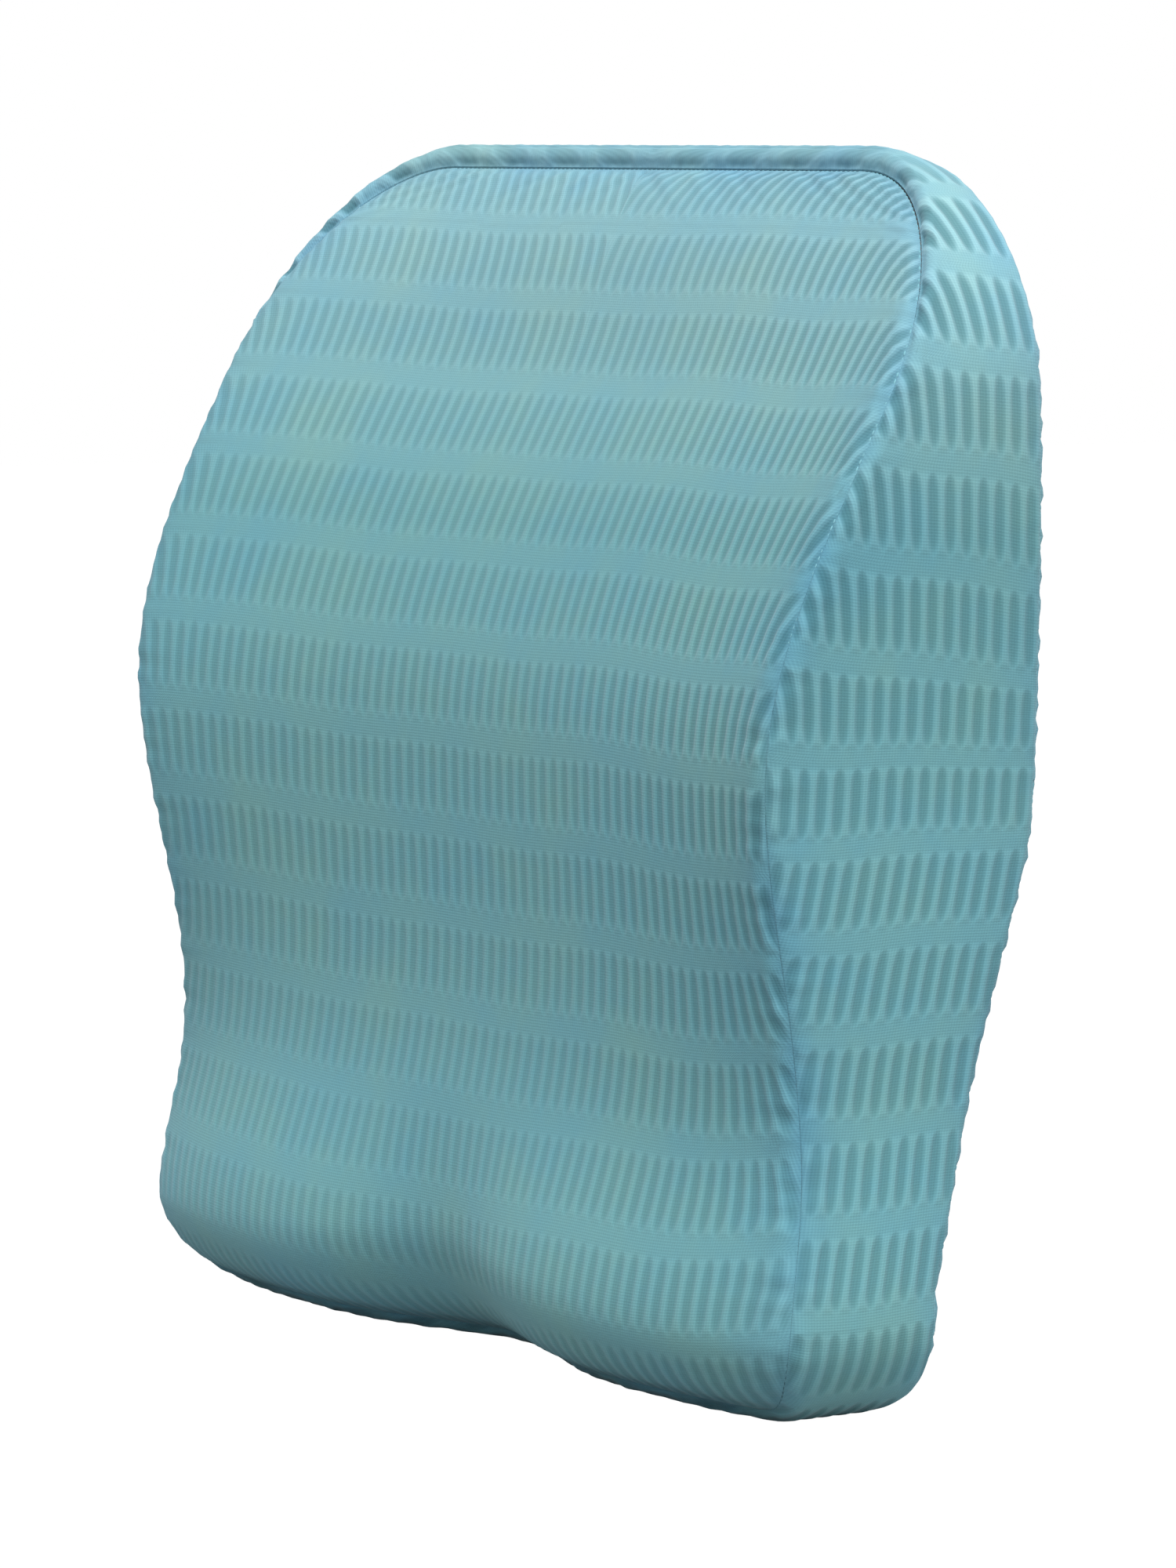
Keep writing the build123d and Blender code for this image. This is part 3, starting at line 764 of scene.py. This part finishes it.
def knit_material():
    """Teal stretch knit: plain rows between rows of long slots, fine stitches and a soft sheen, with painted
    shade in the slots, painted highlights on the cords, painted shade beside the seams, and painted light and
    shade by height.
    """
    made, tree, shader = material("ribbed_knit")
    across, along = fabric_coordinates(tree)
    ribbed = node(tree, "ShaderNodeAttribute", attribute_name="ribbed").outputs["Fac"]
    seam = node(tree, "ShaderNodeAttribute", attribute_name="seam").outputs["Fac"]
    place = object_place(tree)
    # the same slot shape as the relief, but sharper than the mesh can hold
    d = calc(tree, "DIVIDE", centred(tree, across, RIB_PITCH), SLOT_WIDTH)
    t = calc(tree, "DIVIDE", centred(tree, along, ROW_PITCH), SLOT_HALF_LENGTH / ROW_PITCH)
    shape = calc(tree, "ADD", calc(tree, "POWER", d, 2.0), calc(tree, "POWER", t, 4.0))
    slot = calc(tree, "MULTIPLY", calc(tree, "SUBTRACT", 1.0, step_up(tree, shape, 0.15, 1.5)), ribbed)
    in_row = calc(tree, "SUBTRACT", 1.0, step_up(tree, t, 0.88, 1.12))
    cord = calc(tree, "MULTIPLY", calc(tree, "MULTIPLY", step_up(tree, shape, 1.0, 2.1), in_row), ribbed)
    # painted shade in the slots and painted highlight on the cords, both as strong as the ribs show
    ground = mix(tree, slot, PLAIN_ROW, SLOT_PAINTED_SHADE)
    ground = mix(tree, calc(tree, "MULTIPLY", cord, 0.55), ground, CORD_PAINTED_HIGHLIGHT)
    # fine stitches, about 1 mm
    wale = centred(tree, across, 1.1)
    course = centred(tree, along, 0.95)
    stitch = calc(tree, "MULTIPLY", calc(tree, "ADD", wale, course), 1.0, clamp=True)
    yarn = ramp(tree, stitch, [(0.1, (1.05, 1.05, 1.05)), (0.9, (0.86, 0.88, 0.9))])
    knit = mix(tree, 1.0, ground, yarn, "MULTIPLY")
    cloud = noise(tree, place, 16.0, 4.0, 0.65)
    tone = ramp(tree, cloud, [(0.32, (0.89, 0.97, 1.05)), (0.68, (1.08, 1.02, 0.95))])
    knit = mix(tree, 1.0, knit, tone, "MULTIPLY")
    # painted shade beside the seams: darker and bluer there, in patches
    patchy = noise(tree, place, 38.0, 2.0)
    painted_seam_shade = calc(tree, "MULTIPLY", seam, calc(tree, "MULTIPLY", patchy, 1.8), clamp=True)
    knit = mix(tree, painted_seam_shade, knit, mix(tree, 1.0, knit, SEAM_PAINTED_SHADE, "MULTIPLY"))
    # painted light and shade by height: a little darker low down and lighter towards the top
    up = node(tree, "ShaderNodeSeparateXYZ", {0: place}).outputs[2]
    knit = mix(tree, 1.0, knit, ramp(tree, up, HEIGHT_PAINTED_LIGHT), "MULTIPLY")
    tree.links.new(knit, shader.inputs["Base Color"])
    fuzz = noise(tree, place, 1500.0, 2.0)
    fine = calc(tree, "SUBTRACT", calc(tree, "MULTIPLY", fuzz, 0.5), stitch)
    relief = calc(tree, "SUBTRACT", calc(tree, "MULTIPLY", cord, 1.2), calc(tree, "MULTIPLY", slot, 1.6))
    add_bump(tree, shader, calc(tree, "ADD", calc(tree, "MULTIPLY", fine, 0.35), relief), 0.55, 0.0004)
    shader.inputs["Roughness"].default_value = 0.85
    shader.inputs["Specular IOR Level"].default_value = 0.2
    shader.inputs["Sheen Weight"].default_value = 0.25
    shader.inputs["Sheen Roughness"].default_value = 0.5
    shader.inputs["Sheen Tint"].default_value = (0.7, 0.9, 1.0, 1)
    return made


def weave_material(name, colour, thread, roughness=0.7, contrast=0.35):
    """A plain woven textile with threads of the given size in metres."""
    made, tree, shader = material(name)
    place = object_place(tree)
    scaled = node(tree, "ShaderNodeMapping", {"Vector": place, "Scale": (1 / thread,) * 3}).outputs[0]
    wave = {"Vector": scaled, "Scale": 0.5, "Distortion": 0.6}
    warp = node(tree, "ShaderNodeTexWave", wave, bands_direction="X").outputs["Fac"]
    weft = node(tree, "ShaderNodeTexWave", wave, bands_direction="Z").outputs["Fac"]
    threads = calc(tree, "MULTIPLY", warp, weft)
    dark = tuple(c * (1 - contrast) for c in colour)
    light = tuple(min(1, c * (1 + contrast)) for c in colour)
    uneven = noise(tree, place, 60.0, 2.0)
    tone = ramp(tree, uneven, [(0.3, (0.92,) * 3), (0.7, (1.06,) * 3)])
    base = ramp(tree, threads, [(0.0, dark), (1.0, light)])
    tree.links.new(mix(tree, 1.0, base, tone, "MULTIPLY"), shader.inputs["Base Color"])
    add_bump(tree, shader, threads, 0.5, thread * 0.4)
    shader.inputs["Roughness"].default_value = roughness
    shader.inputs["Sheen Weight"].default_value = 0.15
    return made


def hard_material(name, colour, roughness, metallic=0.0, grain=900.0, strength=0.15):
    """Moulded plastic or lacquered metal, with a fine grain and slightly uneven gloss."""
    made, tree, shader = material(name)
    place = object_place(tree)
    fine = noise(tree, place, grain, 2.0)
    broad = noise(tree, place, 90.0, 3.0)
    dark = tuple(c * 0.88 for c in colour)
    light = tuple(min(1, c * 1.1) for c in colour)
    tree.links.new(ramp(tree, broad, [(0.35, dark), (0.65, light)]), shader.inputs["Base Color"])
    limits = {"Value": broad, "To Min": roughness - 0.06, "To Max": roughness + 0.08}
    gloss = node(tree, "ShaderNodeMapRange", limits).outputs[0]
    tree.links.new(gloss, shader.inputs["Roughness"])
    add_bump(tree, shader, fine, strength, 0.0002)
    shader.inputs["Metallic"].default_value = metallic
    return made


def webbing_material():
    """Nylon webbing: a herringbone of fat yarns along the strap."""
    made, tree, shader = material("strap_webbing")
    across, along = fabric_coordinates(tree)
    zigzag = calc(tree, "ADD", along, calc(tree, "MULTIPLY", centred(tree, across, 4.2), 0.03))
    yarn = calc(tree, "MULTIPLY", centred(tree, zigzag, 1.5), 2.0)
    wale = calc(tree, "MULTIPLY", centred(tree, across, 1.05), 2.0)
    weave = calc(tree, "MULTIPLY", calc(tree, "ADD", yarn, wale), 0.5)
    uneven = noise(tree, object_place(tree), 400.0, 2.0)
    base = ramp(tree, weave, [(0.15, (0.060, 0.064, 0.070)), (0.85, (0.016, 0.018, 0.021))])
    tone = ramp(tree, uneven, [(0.3, (0.8,) * 3), (0.7, (1.2,) * 3)])
    tree.links.new(mix(tree, 1.0, base, tone, "MULTIPLY"), shader.inputs["Base Color"])
    add_bump(tree, shader, calc(tree, "SUBTRACT", 1.0, weave), 0.7, 0.0004)
    shader.inputs["Roughness"].default_value = 0.55
    shader.inputs["Sheen Weight"].default_value = 0.1
    return made


def foam_material():
    """Open-cell memory foam, pale yellow."""
    made, tree, shader = material("memory_foam")
    cells = node(tree, "ShaderNodeTexVoronoi", {"Vector": object_place(tree), "Scale": 900.0})
    distance = cells.outputs["Distance"]
    colour = ramp(tree, distance, [(0.0, (0.66, 0.6, 0.42)), (0.6, (0.86, 0.81, 0.64))])
    tree.links.new(colour, shader.inputs["Base Color"])
    add_bump(tree, shader, distance, 0.6, 0.0006)
    shader.inputs["Roughness"].default_value = 0.95
    return made


def dress(obj, made):
    obj.data.materials.clear()
    obj.data.materials.append(made)


KNIT = knit_material()
THREAD_SEAM = hard_material("seam_thread", (0.22, 0.50, 0.58), 0.8)
THREAD_DARK = hard_material("dark_thread", (0.05, 0.055, 0.06), 0.6)
THREAD_TEAL = hard_material("teal_thread", (0.20, 0.44, 0.50), 0.6)
THREAD_WHITE = hard_material("white_thread", (0.8, 0.8, 0.78), 0.6)

# ---- cover ----
front = front_panel()
strip, base = strip_and_base()
back_upper = back_panel("cover_back_top", ZIP_Z + 0.5, HEIGHT)
back_lower = back_panel("cover_back_bottom", 0, ZIP_Z - 0.5)
for piece, stands_for in (
    (front, ["cover_front"]),
    (strip, ["cover_side_strip"]),
    (base, ["cover_base"]),
    (back_upper, ["cover_back_upper"]),
    (back_lower, ["cover_back_lower"]),
):
    dress(piece, KNIT)
    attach(piece, "cushion")
    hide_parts(*stands_for)

# ---- seam stitches ----
BELOW_CREASE, BACK_SUNK = 0.55, 1.2


def front_sunk(z):
    return front_crease(z) + BELOW_CREASE


def back_sunk(z):
    return np.full_like(z, BACK_SUNK)


front_stitches = seam_stitches("front_seam_stitches", front_y, front_edge, -1, front_sunk)
back_stitches = seam_stitches("back_seam_stitches", back_y, back_edge, 1, back_sunk)
for piece, stands_for in ((front_stitches, "front_seam"), (back_stitches, "back_seam")):
    dress(piece, THREAD_SEAM)
    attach(piece, "cushion")
    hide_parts(stands_for)

# ---- liner and foam ----
TRICOT = weave_material("liner_tricot", (0.72, 0.74, 0.73), 0.0007)
FOAM = foam_material()
FOAM_INSET, LINER_INSET = 5.4, 4.4
for piece, stands_for, made, slot_name in (
    (inner_body("foam_block", FOAM_INSET), ["foam_core"], FOAM, "foam"),
    (inner_body("liner_sock", LINER_INSET), ["liner_front", "liner_back"], TRICOT, "lining"),
):
    dress(piece, made)
    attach(piece, "cushion")
    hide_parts(*stands_for)

# ---- zipper: woven tape from the design, with real coils ----
zip_at = flat_point(ZIP_Z, UPPER_FLAT)
TAPE_TOP, TAPE_THICKNESS = -1.2, 0.6
COIL_HALF_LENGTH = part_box("zip_coil_upper")[1].x / MM
COIL_INNER, COIL_OUTER = 0.5, 3.0
COIL_PITCH, COIL_WIRE_RADIUS = 1.3, 0.43


def coil_at(x, v, w):
    return zip_at(x, v, TAPE_TOP - TAPE_THICKNESS / 2 + w)


COIL = hard_material("nylon_coil", (0.10, 0.25, 0.30), 0.35)
for half_name, side, phase in (("upper", 1, 0), ("lower", -1, 1)):
    loops = coil_teeth(coil_at, COIL_HALF_LENGTH, COIL_INNER, COIL_OUTER, side, phase)
    teeth = tube_mesh(f"zip_teeth_{half_name}", loops, COIL_WIRE_RADIUS)
    dress(teeth, COIL)
    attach(teeth, "cushion")
    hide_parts(f"zip_coil_{half_name}")

# ---- straps: ribbed webbing, wrapped round the buckle bars and sewn back on itself ----
WEBBING = webbing_material()
STRAP_Z = (ZIP_Z + SHOULDER_Z) / 2
STRAP_HALF, STRAP = 19.0, 1.6
STRAP_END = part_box("strap_socket_half")[1].x / MM
GAP = 0.3
strap_at = flat_point(STRAP_Z, UPPER_FLAT)
SOCKET_LENGTH, BUCKLE_HEIGHT = 27.0, 10.0
ANCHOR_THICKNESS, ANCHOR_OVERHANG = 1.2, 3.0
wrap_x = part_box("strap_socket_half")[0].x / MM + STRAP / 2
over = BUCKLE_HEIGHT - STRAP / 2 - 0.15
under = GAP + STRAP / 2
fold = SOCKET_LENGTH + 2
sewn_from, sewn_to = fold + 22, fold + 38
for half_name, side in (("plug", -1), ("socket", 1)):
    path = [
        (STRAP_END, under),
        (wrap_x + 1.5, under),
        (wrap_x + 0.5, under + 0.3),
        (wrap_x, under + 1.3),
        (wrap_x, over - 1.3),
        (wrap_x + 0.5, over - 0.3),
        (wrap_x + 1.5, over),
        (fold, over),
        (sewn_from, under + STRAP),
        (sewn_to, under + STRAP),
    ]
    path = [(side * x, w) for x, w in path]
    strap = ribbon(f"strap_webbing_{half_name}", strap_at, path, STRAP_HALF - 0.1, STRAP - 0.1)
    dress(strap, WEBBING)
    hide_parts(f"strap_{half_name}_half")
    x0, x1 = sorted((side * (sewn_from + 1), side * (sewn_to - 1)))
    sewn = boxed_cross(lambda x, v, w: strap_at(x, v, GAP + 2 * STRAP + w), x0, x1, STRAP_HALF, 2.5)
    tack = tube_mesh(f"strap_stitching_{half_name}", sewn, 0.32)
    dress(tack, THREAD_DARK)
    if half_name == "plug":
        start, end = (strap_at(side * x, 0, 0) * MM for x in (STRAP_END - 28, sewn_to + 4))
        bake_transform(strap)
        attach(tack, "buckle_plug")
    else:
        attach(strap, "cushion")
        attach(tack, "cushion")
    low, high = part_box(f"strap_anchor_{half_name}")
    patch_top, patch_half = GAP + STRAP + GAP + ANCHOR_THICKNESS, STRAP_HALF + ANCHOR_OVERHANG
    x0, x1 = low.x / MM, high.x / MM
    sewn = boxed_cross(lambda x, v, w: strap_at(x, v, patch_top + w), x0, x1, patch_half)
    cross = tube_mesh(f"anchor_stitching_{half_name}", sewn, 0.34)
    dress(cross, THREAD_DARK)
    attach(cross, "cushion")

# ---- topstitching beside the zipper and round the care label ----
hem = []
for side in (1, -1):
    line = side * (ZIP_HALF_GAP + HEM_FROM_EDGE)
    start, end = (-ZIP_HALF_OPENING, line), (ZIP_HALF_OPENING, line)
    hem += stitched_line(lambda x, v, w: zip_at(x, v, w - 0.45), start, end, pitch=3.0)
hem_stitches = tube_mesh("zip_topstitching", hem, 0.3)
dress(hem_stitches, THREAD_TEAL)
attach(hem_stitches, "cushion")
LABEL_Z = 125.0
label_at = flat_point(LABEL_Z, LOWER_FLAT)
label_low, label_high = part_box("care_label")
label_x0, label_x1, label_v = label_low.x / MM + 1.2, label_high.x / MM - 1.2, 8.8
corners = [(label_x0, -label_v), (label_x1, -label_v), (label_x1, label_v), (label_x0, label_v)]
sewn = []
for i in range(4):
    start, end = corners[i], corners[(i + 1) % 4]
    sewn += stitched_line(lambda x, v, w: label_at(x, v, w + 0.4), start, end, pitch=2.2, rise=0.25)
label_stitches = tube_mesh("label_stitching", sewn, 0.16)
dress(label_stitches, THREAD_WHITE)
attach(label_stitches, "cushion")

# ---- hard parts, tapes, anchors and label: their materials and softened edges ----
ANCHOR = weave_material("anchor_twill", (0.035, 0.04, 0.045), 0.0008)
TAPE = weave_material("zipper_tape", (0.12, 0.29, 0.33), 0.0006)
ZINC = hard_material("lacquered_zinc", (0.13, 0.30, 0.35), 0.32, metallic=0.35)
ACETAL = hard_material("buckle_acetal", (0.022, 0.023, 0.026), 0.42, strength=0.3)
SATIN = weave_material("label_satin", (0.78, 0.78, 0.76), 0.0004, roughness=0.4, contrast=0.06)
for names, made, bevel in (
    (("strap_anchor_plug", "strap_anchor_socket"), ANCHOR, 0.0004),
    (("zip_tape_upper", "zip_tape_lower"), TAPE, 0),
    (("zip_stop_closed", "zip_stop_open", "zip_slider", "zip_pull_tab"), ZINC, 0.0003),
    (("buckle_socket", "buckle_plug", "buckle_prongs"), ACETAL, 0.0007),
    (("care_label",), SATIN, 0),
):
    for name in names:
        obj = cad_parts[name]
        dress(obj, made)
        if bevel:
            rounded = obj.modifiers.new("soft_edges", "BEVEL")
            rounded.width = bevel
            rounded.segments = 3
            rounded.limit_method = "ANGLE"
            rounded.harden_normals = False

# ---- stage, lights and camera ----
def area_light(name, place, target, size, power, colour=(1, 1, 1)):
    light = bpy.data.lights.new(name, "AREA")
    light.shape = "DISK"
    light.size = size
    light.energy = power
    light.color = colour
    obj = bpy.data.objects.new(name, light)
    obj.location = place
    obj.rotation_euler = (Vector(target) - Vector(place)).to_track_quat("-Z", "Y").to_euler()
    bpy.context.scene.collection.objects.link(obj)
    return obj


floor_mesh = bpy.data.meshes.new("studio_floor")
floor_mesh.from_pydata([(-6, -6, 0), (6, -6, 0), (6, 6, 0), (-6, 6, 0)], [], [(0, 1, 2, 3)])
floor = bpy.data.objects.new("studio_floor", floor_mesh)
floor.location.z = -0.0005
bpy.context.scene.collection.objects.link(floor)
floor_material, floor_tree, floor_shader = material("studio_floor")
seen = node(floor_tree, "ShaderNodeLightPath").outputs["Is Camera Ray"]
# white to the camera, grey to everything else
floor_colour = mix(floor_tree, seen, (0.32, 0.32, 0.32), (0, 0, 0))
floor_tree.links.new(floor_colour, floor_shader.inputs["Base Color"])
floor_tree.links.new(seen, floor_shader.inputs["Emission Strength"])
floor_shader.inputs["Emission Color"].default_value = (1, 1, 1, 1)
floor_shader.inputs["Roughness"].default_value = 0.9
floor_mesh.materials.append(floor_material)

world = bpy.data.worlds.new("studio")
world.use_nodes = True
sky = world.node_tree
seen = node(sky, "ShaderNodeLightPath").outputs["Is Camera Ray"]
AMBIENT, BACKDROP = 0.46, 1.0
limits = {"Value": seen, "To Min": AMBIENT, "To Max": BACKDROP}
brightness = node(sky, "ShaderNodeMapRange", limits).outputs[0]
sky.links.new(brightness, sky.nodes["Background"].inputs["Strength"])
sky.nodes["Background"].inputs["Color"].default_value = (1, 1, 1, 1)
bpy.context.scene.world = world
key = bpy.data.lights.new("key_above", "SUN")
key.energy = 2.75
key.angle = math.radians(35)
key_light = bpy.data.objects.new("key_above", key)
key_light.rotation_euler = Vector((-0.38, 0.26, -0.9)).to_track_quat("-Z", "Y").to_euler()
bpy.context.scene.collection.objects.link(key_light)
CENTRE = (0, 0, 0.22)
area_light("side_fill", (2.4, 0.3, 0.9), CENTRE, 1.2, 8)
area_light("back_fill", (-0.9, 2.6, 1.5), CENTRE, 1.2, 14)
bpy.context.scene.view_settings.view_transform = "Standard"

CAMERA_AZIMUTH, CAMERA_DISTANCE, CAMERA_HEIGHT = math.radians(55.07), 2.2802, 0.40266
CAMERA_SIDE_STEP = 0.0074
CAMERA_YAW, CAMERA_PITCH, CAMERA_ROLL = math.radians(-0.034), math.radians(5.247), math.radians(0.523)
lens = bpy.data.cameras.new("camera")
lens.lens = 152.34
lens.clip_end = 50
camera = bpy.data.objects.new("camera", lens)
camera.location = (
    CAMERA_DISTANCE * math.sin(CAMERA_AZIMUTH),
    -CAMERA_DISTANCE * math.cos(CAMERA_AZIMUTH) + CAMERA_SIDE_STEP,
    CAMERA_HEIGHT,
)
aim = Euler((math.pi / 2 - CAMERA_PITCH, 0, CAMERA_AZIMUTH + CAMERA_YAW)).to_matrix()
camera.rotation_euler = (aim @ Euler((0, 0, CAMERA_ROLL)).to_matrix()).to_euler()
bpy.context.scene.collection.objects.link(camera)
bpy.context.scene.camera = camera
